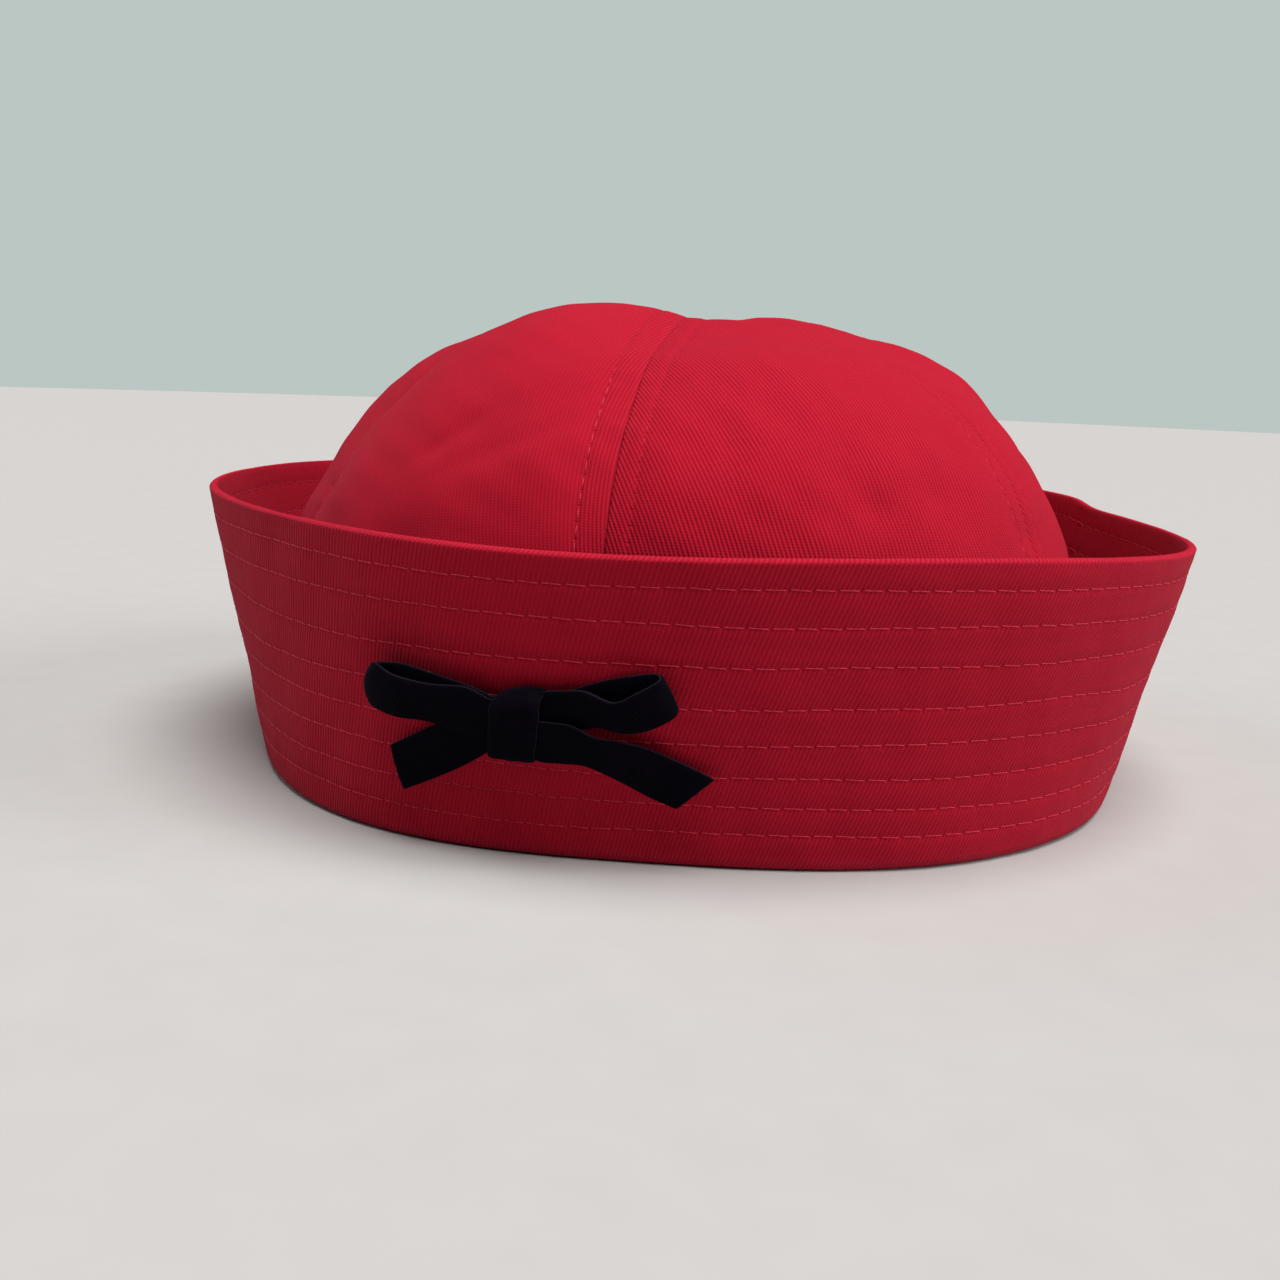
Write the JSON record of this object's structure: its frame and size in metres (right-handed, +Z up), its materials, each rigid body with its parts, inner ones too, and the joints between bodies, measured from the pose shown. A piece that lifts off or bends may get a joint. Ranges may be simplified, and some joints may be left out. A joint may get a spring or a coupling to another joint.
{
  "type": "sailor cap",
  "caption": "Cotton twill sailor cap with a rounded gored crown, a stitched turned-up brim that flares to its rim, and a small velvet ribbon bow on the front.",
  "frame": {"origin": "bottom centre of the cap's bounding box, on the plane that the brim's hem rests on", "axes": "+Z up from the hem to the crown's apex; -Y towards the front seam and the bow; +X to the viewer's right when facing the front"},
  "size_m": [0.2184, 0.2124, 0.1003],
  "materials": {
    "red_twill": "matt cotton twill with a fine diagonal rib",
    "black_velvet": "short-pile velvet ribbon"
  },
  "bodies": {
    "root": {"brim": "red_twill", "crown_panel_front_left": "red_twill", "crown_panel_front_right": "red_twill", "crown_panel_right": "red_twill", "crown_panel_back_right": "red_twill", "crown_panel_back_left": "red_twill", "crown_panel_left": "red_twill", "bow_loop_left": "black_velvet", "bow_loop_right": "black_velvet", "bow_knot": "black_velvet", "bow_tail_left": "black_velvet", "bow_tail_right": "black_velvet"}
  },
  "joints": []
}
